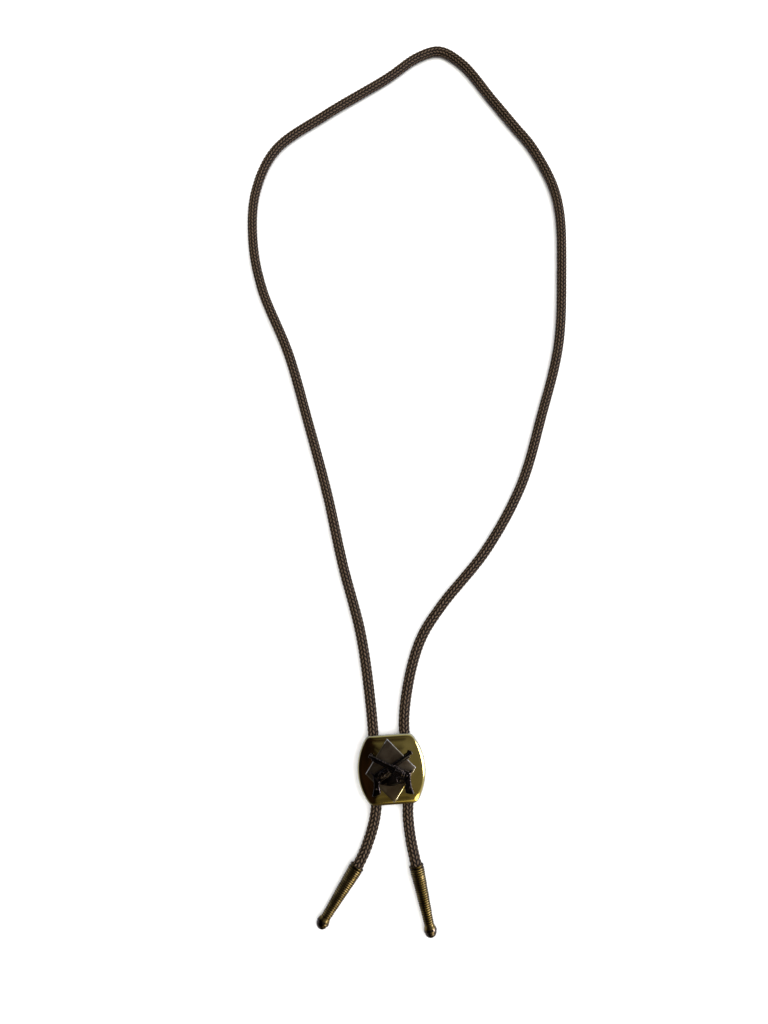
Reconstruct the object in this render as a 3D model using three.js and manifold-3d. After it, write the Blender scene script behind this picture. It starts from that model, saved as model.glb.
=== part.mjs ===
// A bolo tie, lying face up on a table: a braided cord runs from one metal tip up through the
// slide, round the neck and back down through the slide to the other tip. The slide is a hollow
// domed brass plate that carries a diamond-shaped plate and a casting of two crossed revolvers,
// and a plain metal sleeve behind it holds the two runs of the cord.
//
// Millimetres, +Z up. The origin is on the table under the middle of the slide, +X is to the
// right and +Y runs from the slide towards the neck.

import * as THREE from 'three';
import { mergeVertices } from 'three/addons/utils/BufferGeometryUtils.js';
import Module from 'manifold-3d';

const wasm = await Module();
wasm.setup();

// Driving dimensions

const gap = 0.3;                 // clearance between pieces that seat on each other

const cordDiameter = 4.9;        // braided cord, 3/16 inch
const cordSpacing = 13.9;        // between the two runs of cord in the slide
const cordSides = 10;
const cordSteps = 80;

const sleeveWall = 0.8;          // sheet of the sleeve behind the slide
const sleeveLength = 17;
const sleeveLand = 6;            // raised strip on its top, where the plate is soldered
const landHeight = 0.5;
const sleeveArcSteps = 12;

const plateWidth = 29.5;
const plateHeight = 29.3;
const plateSideBulge = 5;        // how far each side bows out past the ends of the top edge
const plateTaper = 0.01;         // share by which the bottom is wider than the middle
const plateWall = 1;
const plateRise = 2.7;           // from the rim's edge up to the crown
const plateSides = 80;
const domeFullness = 3.2;        // a higher power keeps the crown flatter and the rim rounder
const cornerFullness = 28;       // a higher power makes the plate's corners sharper

const diamondWidth = 22;
const diamondHeight = 26.7;
const diamondX = -0.4;           // the diamond sits a little off the plate's middle
const diamondY = -0.2;
const diamondTurn = THREE.MathUtils.degToRad(3);
const diamondThickness = 1.1;
const diamondBevel = 0.5;
const diamondSideSteps = 10;

const gunTilt = THREE.MathUtils.degToRad(28.5);
const gunRearX = 7.5;            // rear end of each barrel axis, from the slide's middle line
const gunRearY = -2.3;
const gunLength = 19.2;          // from that rear end to the muzzle
const frameLength = 7.4;
const frameThickness = 1.5;
const barrelDiameter = 1.5;
const barrelSunk = 0.4;          // how far it is screwed into the frame
const ejectorDiameter = 0.95;
const ejectorLength = 8.3;
const rodOverlap = 0.3;          // how far the barrel and the ejector tube under it merge
const drumDiameter = 3.6;
const drumLength = 3.7;
const drumDrop = 0.8;            // the drum's axis lies below the barrel's
const drumStart = 3;
const overLift = 0.9;            // the revolver in front stands this much higher
const sightHeight = 0.6;
const sightLength = 1.2;
const webReach = 0.4;            // how far the rounded web between the trigger guards runs into each
const webHeight = 3.2;
const webThickness = 1.6;
const webDrop = 0.7;             // the web's middle, below the corners of the guards

const tipLength = 29.6;
const tipMouthDiameter = 6.4;
const tipNeckDiameter = 4.1;
const tipBallDiameter = 5.1;
const tipCollarLength = 1.6;     // plain collar at the mouth
const tipNeckLength = 0.7;       // plain neck above the ball
const ribPitch = 0.92;
const ribDepth = 0.2;
const ribsInGroup = 5;           // a deeper groove follows each group
const groupGrooveDepth = 0.4;
const tipSides = 14;

// Sizes that follow

const cordRadius = cordDiameter / 2;
const boreRadius = cordRadius + gap;
const sleeveRadius = boreRadius + sleeveWall;
const channelHeight = sleeveRadius;
const sleeveTop = 2 * sleeveRadius;
const plateCrownInside = sleeveTop + landHeight + gap;
const plateRim = plateCrownInside + plateWall - plateRise;
const tipMouthRadius = tipMouthDiameter / 2;
const tipBallRadius = tipBallDiameter / 2;

// Route of the cord's centre line, from one tip to the other: x, y and height. The points are
// chosen by hand along the real cord, the first and last are its ends inside the tips.
const cordRoute = [
  [-20.4, -42.9, 3.1],
  [-17.4, -38.9, 3.2],
  [-15.8, -36.7, 3.1],
  [-12.7, -31, 2.7],
  [-8.7, -20.4, 2.9],
  [-6.95, -8, 3.55],
  [-6.95, 8, 3.55],
  [-7.25, 27, 2.5],
  [-9.7, 58.7, 2.5],
  [-16, 91.2, 2.5],
  [-21.3, 125, 2.5],
  [-28.3, 159.8, 2.5],
  [-36.2, 195.8, 2.5],
  [-48, 232, 2.5],
  [-51.3, 257.6, 2.5],
  [-48.8, 284.6, 2.5],
  [-37.6, 307.7, 2.5],
  [-11.3, 326, 2.5],
  [22.6, 345.7, 2.5],
  [39.4, 357.1, 2.5],
  [51.1, 360, 2.5],
  [62.2, 351.8, 2.5],
  [76.5, 328.6, 2.5],
  [86.4, 312.4, 2.5],
  [93.8, 300.3, 2.5],
  [102, 278.5, 2.5],
  [104, 262, 2.5],
  [101.3, 229, 2.5],
  [95.4, 191, 2.5],
  [83.3, 156, 2.5],
  [70, 122.7, 2.5],
  [50.9, 93.6, 2.5],
  [27.9, 69.1, 2.5],
  [18.1, 56.2, 2.5],
  [11.8, 41.3, 2.5],
  [7.15, 20.9, 2.9],
  [6.95, 8, 3.55],
  [6.95, -8, 3.55],
  [5.8, -20, 2.9],
  [6.35, -31, 2.7],
  [7.75, -40.3, 3.2],
  [8.5, -45.2, 3.1],
];

// Materials

const finish = (color, roughness, metalness) =>
  new THREE.MeshStandardMaterial({ color, roughness, metalness });
const braidFinish = finish(0x3a2c22, 0.85, 0);
const polishedBrass = finish(0xa08a3c, 0.2, 1);
const agedBrass = finish(0x7c6633, 0.35, 1);
const darkBronze = finish(0x2c2118, 0.45, 1);
const antiqueBronze = finish(0x5a4a3a, 0.4, 1);

// Solids

function toSolid(geometry) {
  const bare = geometry.clone();
  bare.deleteAttribute('normal');
  bare.deleteAttribute('uv');
  const merged = mergeVertices(bare, 1e-4);
  return new wasm.Manifold(new wasm.Mesh({
    numProp: 3,
    vertProperties: new Float32Array(merged.attributes.position.array),
    triVerts: new Uint32Array(merged.index.array),
  }));
}

function toGeometry(solid) {
  const mesh = solid.getMesh();
  const geometry = new THREE.BufferGeometry();
  geometry.setAttribute('position', new THREE.BufferAttribute(mesh.vertProperties, 3));
  geometry.setIndex(new THREE.BufferAttribute(mesh.triVerts, 1));
  geometry.computeVertexNormals();
  return geometry;
}

// A closed solid of rings: each level is the outline at a scale, at the height that its function
// gives for each point. The levels run from the middle of the top, over the rim, to the middle
// of the underside.
function ringSolid(outline, levels) {
  const count = outline.length;
  const positions = [0, 0, levels[0].height(0, 0)];
  for (const level of levels.slice(1, -1)) {
    for (const point of outline) {
      const x = point.x * level.scale;
      const y = point.y * level.scale;
      positions.push(x, y, level.height(x, y));
    }
  }
  positions.push(0, 0, levels.at(-1).height(0, 0));
  const rings = levels.length - 2;
  const last = 1 + rings * count;
  const index = [];
  for (let side = 0; side < count; side += 1) {
    const next = (side + 1) % count;
    index.push(0, 1 + side, 1 + next);
    for (let ring = 0; ring < rings - 1; ring += 1) {
      const inner = 1 + ring * count;
      const outer = inner + count;
      index.push(inner + side, outer + side, outer + next);
      index.push(inner + side, outer + next, inner + next);
    }
    const lastRing = last - count;
    index.push(lastRing + side, last, lastRing + next);
  }
  const geometry = new THREE.BufferGeometry();
  geometry.setAttribute('position', new THREE.Float32BufferAttribute(positions, 3));
  geometry.setIndex(index);
  geometry.computeVertexNormals();
  return geometry;
}

// The dome

// How far out a point lies between the plate's middle, 0, and its edge, 1. The two sides are
// arcs of a circle, the top and bottom edges are straight, and the corners blend.
function plateShare(x, y) {
  const halfWidth = plateWidth / 2;
  const halfHeight = plateHeight / 2;
  const arcRadius = (halfHeight ** 2 + plateSideBulge ** 2) / (2 * plateSideBulge);
  const arcOffset = arcRadius - halfWidth;
  const across = Math.abs(x) / (1 - plateTaper * y / halfHeight);
  const factor = arcRadius ** 2 - arcOffset ** 2;
  const reach = Math.sqrt((arcOffset * across) ** 2 + factor * (across ** 2 + y ** 2));
  const sideShare = (arcOffset * across + reach) / factor;
  const endShare = Math.abs(y) / halfHeight;
  return (sideShare ** cornerFullness + endShare ** cornerFullness) ** (1 / cornerFullness);
}

function domeHeight(share, rise) {
  return plateRim + rise * Math.sqrt(1 - Math.min(share, 1) ** domeFullness);
}

const domeAt = (x, y) => domeHeight(plateShare(x, y), plateRise);

function plateOutline() {
  const points = [];
  for (let step = 0; step < plateSides; step += 1) {
    const angle = (2 * Math.PI * step) / plateSides;
    const direction = new THREE.Vector2(Math.cos(angle), Math.sin(angle));
    let radius = plateWidth / 2;
    for (let turn = 0; turn < 30; turn += 1) {
      radius /= plateShare(direction.x * radius, direction.y * radius);
    }
    points.push(direction.multiplyScalar(radius));
  }
  return points;
}

function slidePlate() {
  const inside = 1 - plateWall / (plateWidth / 2);
  const outerShares = [0, 0.3, 0.55, 0.72, 0.84, 0.92, 0.965, 0.99, 1];
  const innerShares = [1, 0.95, 0.82, 0.6, 0.3, 0];
  const levels = [
    ...outerShares.map((share) => ({ scale: share, height: () => domeHeight(share, plateRise) })),
    ...innerShares.map((share) => ({
      scale: share * inside,
      height: () => domeHeight(share, plateRise - plateWall),
    })),
  ];
  return new THREE.Mesh(ringSolid(plateOutline(), levels), polishedBrass);
}

function diamondPlate() {
  const corners = [
    [diamondWidth / 2, 0],
    [0, diamondHeight / 2],
    [-diamondWidth / 2, 0],
    [0, -diamondHeight / 2],
  ].map(([x, y]) => new THREE.Vector2(x, y)
    .rotateAround(new THREE.Vector2(), diamondTurn)
    .add(new THREE.Vector2(diamondX, diamondY)));
  const outline = corners.flatMap((corner, side) => {
    const next = corners[(side + 1) % corners.length];
    return Array.from({ length: diamondSideSteps }, (_, step) =>
      corner.clone().lerp(next, step / diamondSideSteps));
  });
  const inradius = (diamondWidth * diamondHeight) / (2 * Math.hypot(diamondWidth, diamondHeight));
  const bevelStart = 1 - diamondBevel / inradius;
  const under = (x, y) => domeAt(x, y) + gap;
  const above = (x, y) => under(x, y) + diamondThickness;
  const shoulder = (x, y) => above(x, y) - diamondBevel;
  const levels = [
    { scale: 0, height: above },
    { scale: 0.35, height: above },
    { scale: 0.68, height: above },
    { scale: bevelStart, height: above },
    { scale: 1, height: shoulder },
    { scale: 1, height: under },
    { scale: 0.68, height: under },
    { scale: 0.35, height: under },
    { scale: 0, height: under },
  ];
  return new THREE.Mesh(ringSolid(outline, levels), antiqueBronze);
}

// The revolvers

// One revolver lies in its own plane: u runs forward along the barrel from the rear of the
// frame, v upwards. Shares are of the frame's length. The hand is 1 with the muzzle to the right
// and -1 to the left.
const gunBody = [
  [1, 0.13],
  [0.26, 0.18],
  [0.14, 0.18],
  [0.08, 0.16],
  [0.05, 0.26],
  [-0.07, 0.33],
  [-0.1, 0.29],
  [-0.02, 0.21],
  [-0.05, 0.08],
  [-0.1, -0.03],
  [-0.15, -0.16],
  [-0.26, -0.35],
  [-0.39, -0.53],
  [-0.54, -0.68],
  [-0.66, -0.8],
  [-0.57, -0.88],
  [-0.38, -0.95],
  [-0.19, -0.97],
  [-0.12, -0.84],
  [-0.07, -0.66],
  [0, -0.5],
  [0.1, -0.41],
  [0.18, -0.55],
  [0.31, -0.64],
  [0.46, -0.64],
  [0.59, -0.55],
  [0.66, -0.41],
  [0.68, -0.35],
  [0.92, -0.34],
  [1, -0.27],
];
const guardHole = { u: 0.4, v: -0.46, halfLength: 0.18, halfHeight: 0.115 };
const guardCorner = { u: 0.59, v: -0.55 };

const gunDirection = (hand) => new THREE.Vector2(hand * Math.cos(gunTilt), Math.sin(gunTilt));

function gunPlace(hand, u, v) {
  const up = new THREE.Vector2(-hand * Math.sin(gunTilt), Math.cos(gunTilt));
  return new THREE.Vector2(-hand * gunRearX, gunRearY)
    .addScaledVector(gunDirection(hand), u)
    .addScaledVector(up, v);
}

function revolver(hand, lift) {
  const along = gunDirection(hand);
  const place = (u, v) => gunPlace(hand, u, v);
  const centreHeight = barrelDiameter / 2 + lift;

  const body = new THREE.Shape(gunBody.map(([u, v]) => place(u * frameLength, v * frameLength)));
  const holeMiddle = place(guardHole.u * frameLength, guardHole.v * frameLength);
  const hole = new THREE.Path();
  hole.absellipse(
    holeMiddle.x, holeMiddle.y,
    guardHole.halfLength * frameLength, guardHole.halfHeight * frameLength,
    0, 2 * Math.PI, hand > 0, hand * gunTilt,
  );
  body.holes.push(hole);
  const parts = [new THREE.ExtrudeGeometry(body, {
    depth: frameThickness + lift,
    bevelEnabled: false,
    curveSegments: 5,
  })];

  const turn = Math.atan2(along.y, along.x) - Math.PI / 2;
  const rod = (radius, start, length, v, sides, rings) => {
    const middle = place(start + length / 2, v);
    return new THREE.CylinderGeometry(radius, radius, length, sides, rings)
      .rotateZ(turn)
      .translate(middle.x, middle.y, centreHeight);
  };
  const barrelLength = gunLength - frameLength + barrelSunk;
  const ejectorDrop = (barrelDiameter + ejectorDiameter) / 2 - rodOverlap;
  parts.push(rod(barrelDiameter / 2, frameLength - barrelSunk, barrelLength, 0, 12, 4));
  parts.push(rod(ejectorDiameter / 2, frameLength - barrelSunk, ejectorLength, -ejectorDrop, 8, 3));
  parts.push(rod(drumDiameter / 2, drumStart, drumLength, -drumDrop, 14, 1));

  const sight = place(gunLength - sightLength, barrelDiameter / 2);
  parts.push(new THREE.BoxGeometry(sightLength, 2 * sightHeight, barrelDiameter / 2)
    .rotateZ(hand * gunTilt)
    .translate(sight.x, sight.y, centreHeight));
  return parts;
}

function crossedPistols() {
  const corner = gunPlace(1, guardCorner.u * frameLength, guardCorner.v * frameLength);
  const web = new THREE.SphereGeometry(1, 14, 8)
    .scale(Math.abs(corner.x) + webReach, webHeight / 2, webThickness)
    .translate(0, corner.y - webDrop, 0);
  const below = new THREE.BoxGeometry(2 * plateWidth, 2 * plateHeight, plateHeight)
    .translate(0, 0, -plateHeight / 2);
  const parts = [...revolver(1, 0), ...revolver(-1, overLift), web];
  const casting = parts.map(toSolid).reduce((whole, part) => whole.add(part));
  const geometry = toGeometry(casting.subtract(toSolid(below)));

  // The casting is curved to the dome that it lies on.
  const seat = 2 * gap + diamondThickness;
  const position = geometry.attributes.position;
  for (let i = 0; i < position.count; i += 1) {
    const fitted = domeAt(position.getX(i), position.getY(i)) + seat + position.getZ(i);
    position.setZ(i, fitted);
  }
  geometry.computeVertexNormals();
  return new THREE.Mesh(geometry, darkBronze);
}

// The sleeve behind the slide: a flat tube with a channel for each run of the cord

function cordClip() {
  const half = cordSpacing / 2;
  const outline = new THREE.Shape();
  outline.absarc(half, channelHeight, sleeveRadius, -Math.PI / 2, Math.PI / 2, false);
  outline.lineTo(sleeveLand / 2, sleeveTop);
  outline.lineTo(sleeveLand / 2, sleeveTop + landHeight);
  outline.lineTo(-sleeveLand / 2, sleeveTop + landHeight);
  outline.lineTo(-sleeveLand / 2, sleeveTop);
  outline.absarc(-half, channelHeight, sleeveRadius, Math.PI / 2, 1.5 * Math.PI, false);
  outline.closePath();
  for (const side of [-1, 1]) {
    const channel = new THREE.Path();
    channel.absarc(side * half, channelHeight, boreRadius, 0, 2 * Math.PI, true);
    outline.holes.push(channel);
  }
  const middleHalf = half - sleeveRadius;
  const middle = new THREE.Path([
    new THREE.Vector2(-middleHalf, sleeveWall),
    new THREE.Vector2(-middleHalf, sleeveTop - sleeveWall),
    new THREE.Vector2(middleHalf, sleeveTop - sleeveWall),
    new THREE.Vector2(middleHalf, sleeveWall),
  ]);
  outline.holes.push(middle);
  const geometry = new THREE.ExtrudeGeometry(outline, {
    depth: sleeveLength,
    bevelEnabled: false,
    curveSegments: sleeveArcSteps,
  });
  geometry.rotateX(Math.PI / 2);
  geometry.translate(0, sleeveLength / 2, 0);
  return new THREE.Mesh(geometry, agedBrass);
}

// The tips

// Outline of a tip from its mouth, at 0, to the end of its ball: radius and distance. It starts
// on the axis at the bottom of the socket for the cord and ends on the axis at the ball.
function tipProfile(socketDepth) {
  const ballMiddle = tipLength - tipBallRadius;
  const neckRadius = tipNeckDiameter / 2;
  const neckAngle = Math.PI - Math.asin(neckRadius / tipBallRadius);
  const ballStart = ballMiddle + tipBallRadius * Math.cos(neckAngle);
  const ribsEnd = ballStart - tipNeckLength;
  const radiusAt = (distance) =>
    THREE.MathUtils.lerp(tipMouthRadius, neckRadius, distance / ribsEnd);

  const points = [
    [0, socketDepth],
    [boreRadius, socketDepth],
    [boreRadius, 0],
    [tipMouthRadius, 0],
    [radiusAt(tipCollarLength), tipCollarLength],
  ];
  const ribCount = Math.floor((ribsEnd - tipCollarLength) / ribPitch);
  for (let rib = 0; rib < ribCount; rib += 1) {
    const start = tipCollarLength + rib * ribPitch;
    const groove = rib % ribsInGroup === 0 ? groupGrooveDepth : ribDepth;
    points.push([radiusAt(start) - groove, start + 0.2 * ribPitch]);
    points.push([radiusAt(start), start + 0.5 * ribPitch]);
    points.push([radiusAt(start), start + 0.8 * ribPitch]);
  }
  points.push([neckRadius, ribsEnd]);
  const ballSteps = 8;
  for (let step = 0; step < ballSteps; step += 1) {
    const angle = neckAngle * (1 - step / ballSteps);
    points.push([tipBallRadius * Math.sin(angle), ballMiddle + tipBallRadius * Math.cos(angle)]);
  }
  points.push([0, tipLength]);
  return points.map(([radius, distance]) => new THREE.Vector2(radius, distance));
}

// A tip takes its place from the cord's last two points: its mouth is at the second of them. It
// lies on the table on the rim of its mouth and on its ball.
function cordTip(end, mouth) {
  const heading = Math.atan2(end[1] - mouth[1], end[0] - mouth[0]);
  const slope = Math.asin((tipMouthRadius - tipBallRadius) / (tipLength - tipBallRadius));
  const axis = new THREE.Vector3(
    Math.cos(slope) * Math.cos(heading),
    Math.cos(slope) * Math.sin(heading),
    -Math.sin(slope),
  );
  const socketDepth = Math.hypot(end[0] - mouth[0], end[1] - mouth[1], end[2] - mouth[2]) + gap;
  const geometry = new THREE.LatheGeometry(tipProfile(socketDepth), tipSides);
  const tip = new THREE.Mesh(geometry, agedBrass);
  tip.quaternion.setFromUnitVectors(new THREE.Vector3(0, 1, 0), axis);
  tip.position.set(mouth[0], mouth[1], tipMouthRadius);
  return tip;
}

// The cord

function braidedCord() {
  const section = new THREE.Shape();
  for (let side = 0; side < cordSides; side += 1) {
    const angle = (2 * Math.PI * side) / cordSides;
    const x = cordRadius * Math.cos(angle);
    const y = cordRadius * Math.sin(angle);
    if (side === 0) {
      section.moveTo(x, y);
    } else {
      section.lineTo(x, y);
    }
  }
  section.closePath();
  const route = cordRoute.map((point) => new THREE.Vector3(...point));
  const path = new THREE.CatmullRomCurve3(route, false, 'centripetal');
  path.arcLengthDivisions = 2000;
  const geometry = new THREE.ExtrudeGeometry(section, {
    extrudePath: path,
    steps: cordSteps,
    bevelEnabled: false,
  });
  return new THREE.Mesh(geometry, braidFinish);
}

// The scene

function named(name, mesh) {
  mesh.name = name;
  return mesh;
}

const slide = new THREE.Group();
slide.add(named('slide_plate', slidePlate()));
slide.add(named('diamond_plate', diamondPlate()));
slide.add(named('crossed_pistols', crossedPistols()));
slide.add(named('cord_clip', cordClip()));

const boloTie = new THREE.Group();
boloTie.add(slide);
boloTie.add(named('cord', braidedCord()));
boloTie.add(named('tip_left', cordTip(cordRoute[0], cordRoute[1])));
boloTie.add(named('tip_right', cordTip(cordRoute.at(-1), cordRoute.at(-2))));

export default boloTie;
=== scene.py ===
# %% [markdown]
# # A bolo tie on a table
# A bolo tie is a braided cord that hangs round the neck like a necktie. Both ends run down through
# a metal slide and finish in metal tips. The engineering model already has every piece at its real
# place and size, so this lesson dresses it: the braid, the domed brass plate, the cast revolvers
# and the ribbed tips. Lengths are in millimetres while a piece is shaped and become metres at the
# end.

# %% Load the frame
import math

import bmesh
import bpy
import numpy as np
from mathutils import Matrix, Vector


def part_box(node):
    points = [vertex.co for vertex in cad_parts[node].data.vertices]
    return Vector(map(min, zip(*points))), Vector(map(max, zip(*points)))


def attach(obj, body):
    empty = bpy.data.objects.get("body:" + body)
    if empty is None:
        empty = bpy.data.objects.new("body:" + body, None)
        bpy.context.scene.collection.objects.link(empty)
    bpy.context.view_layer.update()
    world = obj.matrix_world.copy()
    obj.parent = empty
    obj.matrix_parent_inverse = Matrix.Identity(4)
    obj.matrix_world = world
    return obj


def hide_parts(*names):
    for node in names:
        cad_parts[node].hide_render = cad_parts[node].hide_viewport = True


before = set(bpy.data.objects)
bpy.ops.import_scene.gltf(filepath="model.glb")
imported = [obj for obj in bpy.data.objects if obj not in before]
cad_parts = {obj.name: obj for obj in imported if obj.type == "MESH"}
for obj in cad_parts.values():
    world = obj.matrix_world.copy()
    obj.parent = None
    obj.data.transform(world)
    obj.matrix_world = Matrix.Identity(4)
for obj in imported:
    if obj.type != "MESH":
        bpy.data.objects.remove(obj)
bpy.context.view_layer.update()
MM = 0.001
for node in sorted(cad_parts):
    low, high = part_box(node)
    print(node, "is", [round((b - a) / MM, 1) for a, b in zip(low, high)], "mm")

# %% [markdown]
# The camera comes first. The photograph was taken from above with a phone, about 36 cm over the
# table and tilted 11 degrees, so the neck end of the loop is further away and looks smaller. A
# phone's wide lens is part of that look, so its angle of view is kept.

# %% Camera
CAMERA_PLACE = Vector((-0.05, 46.0, 355.4)) * MM
CAMERA_TARGET = Vector((4.75, 114.9, 0.0)) * MM
PICTURE_HEIGHT_PX = 1024
FOCAL_LENGTH_PX = 769
SENSOR_HEIGHT = 36.0

camera_data = bpy.data.cameras.new("phone_camera")
camera_data.sensor_fit = "VERTICAL"
camera_data.sensor_height = SENSOR_HEIGHT
camera_data.lens = SENSOR_HEIGHT * FOCAL_LENGTH_PX / PICTURE_HEIGHT_PX
camera_data.clip_start = 0.01
camera = bpy.data.objects.new("phone_camera", camera_data)
camera.location = CAMERA_PLACE
camera.rotation_euler = (CAMERA_TARGET - CAMERA_PLACE).to_track_quat("-Z", "Y").to_euler()
bpy.context.scene.collection.objects.link(camera)
bpy.context.scene.camera = camera
print("lens of", round(camera_data.lens, 2), "mm")

# %% [markdown]
# Every finish is a node material. A few helpers keep the graphs readable: one starts a material
# and sets what is the same all over it, and the others add a node, a colour ramp, a range, a sum,
# a mix, a bump and a noise that stays fixed to the piece.

# %% Start a material
GLOSS_INPUTS = {
    "roughness": "Roughness",
    "metallic": "Metallic",
    "specular": "Specular IOR Level",
    "coat": "Coat Weight",
    "coat_roughness": "Coat Roughness",
    "coat_ior": "Coat IOR",
}


def start_material(name, color, **gloss):
    material = bpy.data.materials.new(name)
    material.use_nodes = True
    shader = material.node_tree.nodes["Principled BSDF"]
    shader.inputs["Base Color"].default_value = (*color, 1.0)
    for key, value in gloss.items():
        shader.inputs[GLOSS_INPUTS[key]].default_value = value
    return material, shader


# %% Add nodes to a material


def add_node(tree, kind, settings=None, **inputs):
    node = tree.nodes.new(kind)
    for key, value in (settings or {}).items():
        setattr(node, key, value)
    for key, value in inputs.items():
        node.inputs[key.replace("_", " ")].default_value = value
    return node


def add_ramp(tree, source, stops):
    ramp = add_node(tree, "ShaderNodeValToRGB")
    elements = ramp.color_ramp.elements
    elements.remove(elements[1])
    elements[0].position = stops[0][0]
    elements[0].color = (*stops[0][1], 1.0)
    for position, color in stops[1:]:
        elements.new(position).color = (*color, 1.0)
    tree.links.new(source, ramp.inputs["Fac"])
    return ramp.outputs["Color"]


def add_range(tree, source, low, high, start=0.0, end=1.0):
    node = add_node(
        tree, "ShaderNodeMapRange", None, From_Min=start, From_Max=end, To_Min=low, To_Max=high
    )
    tree.links.new(source, node.inputs["Value"])
    return node.outputs["Result"]


def add_math(tree, operation, first, second=0.0):
    node = add_node(tree, "ShaderNodeMath", {"operation": operation})
    for socket, value in zip(node.inputs, (first, second)):
        if isinstance(value, (int, float)):
            socket.default_value = value
        else:
            tree.links.new(value, socket)
    return node.outputs["Value"]


def add_mix(tree, share, first, second):
    node = add_node(tree, "ShaderNodeMixRGB")
    for socket, value in zip(node.inputs, (share, first, second)):
        if isinstance(value, (int, float)):
            socket.default_value = value
        elif isinstance(value, tuple):
            socket.default_value = (*value, 1.0)
        else:
            tree.links.new(value, socket)
    return node.outputs["Color"]


def add_bump(tree, shader, height, distance, strength=1.0):
    bump = add_node(tree, "ShaderNodeBump", None, Distance=distance, Strength=strength)
    tree.links.new(height, bump.inputs["Height"])
    tree.links.new(bump.outputs["Normal"], shader.inputs["Normal"])


def object_noise(tree, scale, detail, stretch=(1.0, 1.0, 1.0), turn=0.0):
    """Noise in the piece's own coordinates, which are metres, so the scale counts per metre."""
    coordinates = add_node(tree, "ShaderNodeTexCoord")
    mapping = add_node(tree, "ShaderNodeMapping")
    mapping.inputs["Scale"].default_value = stretch
    mapping.inputs["Rotation"].default_value = (0.0, 0.0, turn)
    tree.links.new(coordinates.outputs["Object"], mapping.inputs["Vector"])
    noise = add_node(tree, "ShaderNodeTexNoise", None, Scale=scale, Detail=detail)
    tree.links.new(mapping.outputs["Vector"], noise.inputs["Vector"])
    return noise.outputs["Fac"]


# %% [markdown]
# All the metal here is brass or bronze. What tells the pieces apart is the finish: the dome is
# polished, with a paler rim as a painted highlight, the tips are brass that has aged, the diamond
# is satin with a painted highlight of brighter metal on the filed edges that face the light, and
# the revolvers are oxidised nearly black, rubbed back a little on the high spots, a lighter colour
# that is partly wear and partly a painted highlight. One function makes them all: patches of
# tarnish change the colour, and fine scratches change the gloss. High spots are found by how much
# the surface bulges, and the bottoms of grooves by a number that the tips store on their points;
# the grooves take tarnish and painted shade. A thin clear coat gives the ball and the revolvers
# their wet shine.

# %% How a metal is made
# Bulge over which high spots turn lighter: wear together with a painted highlight.
WEAR_AND_HIGHLIGHT_BULGE = (0.51, 0.66)
GROOVE_DEPTHS = (0.12, 0.5)
SCRATCHES_PER_PATCH = 6.0
SCRATCH_STRETCH = (1.0, 0.35, 1.0)
SCRATCH_TURN = 0.6


def metal(
    name, dark, light, roughness, patches_per_m, scratch_mm, wear_and_highlight=None, groove=None, **lacquer
):
    """Patches go from dark to light. High places get a colour for wear and painted highlight,
    and grooves one for tarnish and painted shade.
    """
    material, shader = start_material(name, light, metallic=1.0, **lacquer)
    tree = material.node_tree
    patches = object_noise(tree, patches_per_m, 6.0)
    color = add_ramp(tree, patches, [(0.36, dark), (0.64, light)])
    if wear_and_highlight:
        geometry = add_node(tree, "ShaderNodeNewGeometry")
        share = add_range(tree, geometry.outputs["Pointiness"], 0.0, 1.0, *WEAR_AND_HIGHLIGHT_BULGE)
        color = add_mix(tree, share, color, wear_and_highlight)
    if groove:
        depth = add_node(tree, "ShaderNodeAttribute", {"attribute_name": "groove"})
        share = add_range(tree, depth.outputs["Fac"], 0.0, 1.0, *GROOVE_DEPTHS)
        color = add_mix(tree, share, color, groove)
    tree.links.new(color, shader.inputs["Base Color"])
    fine = object_noise(
        tree, patches_per_m * SCRATCHES_PER_PATCH, 3.0, stretch=SCRATCH_STRETCH, turn=SCRATCH_TURN
    )
    tree.links.new(add_range(tree, fine, *roughness), shader.inputs["Roughness"])
    add_bump(tree, shader, fine, scratch_mm * MM)
    return material


# %% The metals
polished_brass = metal(
    "polished_brass", (0.46, 0.35, 0.085), (0.55, 0.43, 0.12), (0.06, 0.14), 120.0, 0.002
)
aged_brass = metal(
    "aged_brass",
    (0.12, 0.078, 0.02),
    (0.30, 0.21, 0.065),
    (0.2, 0.34),
    260.0,
    0.02,
    # Tarnish with painted shade in the grooves of the ribs and on the lip.
    groove=(0.035, 0.022, 0.007),
)
# The ball is a darker, glossier copy of the tip's brass.
dark_glossy_ball = metal(
    "dark_glossy_ball",
    (0.035, 0.02, 0.006),
    (0.12, 0.08, 0.03),
    (0.08, 0.16),
    260.0,
    0.005,
    coat=0.5,
    coat_roughness=0.04,
    coat_ior=1.5,
)
# A paler metal round the plate's rim: a painted highlight for its pale edge line.
pale_rim_highlight = metal("pale_rim_highlight", (0.56, 0.49, 0.28), (0.68, 0.61, 0.38), (0.12, 0.22), 200.0, 0.005)
satin_bronze = metal(
    "satin_bronze", (0.135, 0.094, 0.052), (0.225, 0.18, 0.105), (0.32, 0.46), 240.0, 0.015
)
# Brighter metal on the diamond's filed edges that face the light: a painted highlight.
painted_highlight_edge = metal(
    "painted_highlight_edge", (0.58, 0.53, 0.41), (0.85, 0.80, 0.66), (0.12, 0.24), 300.0, 0.01
)
dark_bronze = metal(
    "dark_bronze",
    (0.004, 0.003, 0.003),
    (0.022, 0.014, 0.009),
    (0.2, 0.36),
    420.0,
    0.02,
    # Lighter high spots: rubbed wear, and a painted highlight on ridges and edges.
    wear_and_highlight=(0.34, 0.24, 0.15),
    coat=0.15,
    coat_roughness=0.1,
    coat_ior=1.6,
)
all_metals = polished_brass, aged_brass, dark_glossy_ball, pale_rim_highlight, satin_bronze, painted_highlight_edge, dark_bronze
print("metals:", ", ".join(material.name for material in all_metals))

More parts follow.
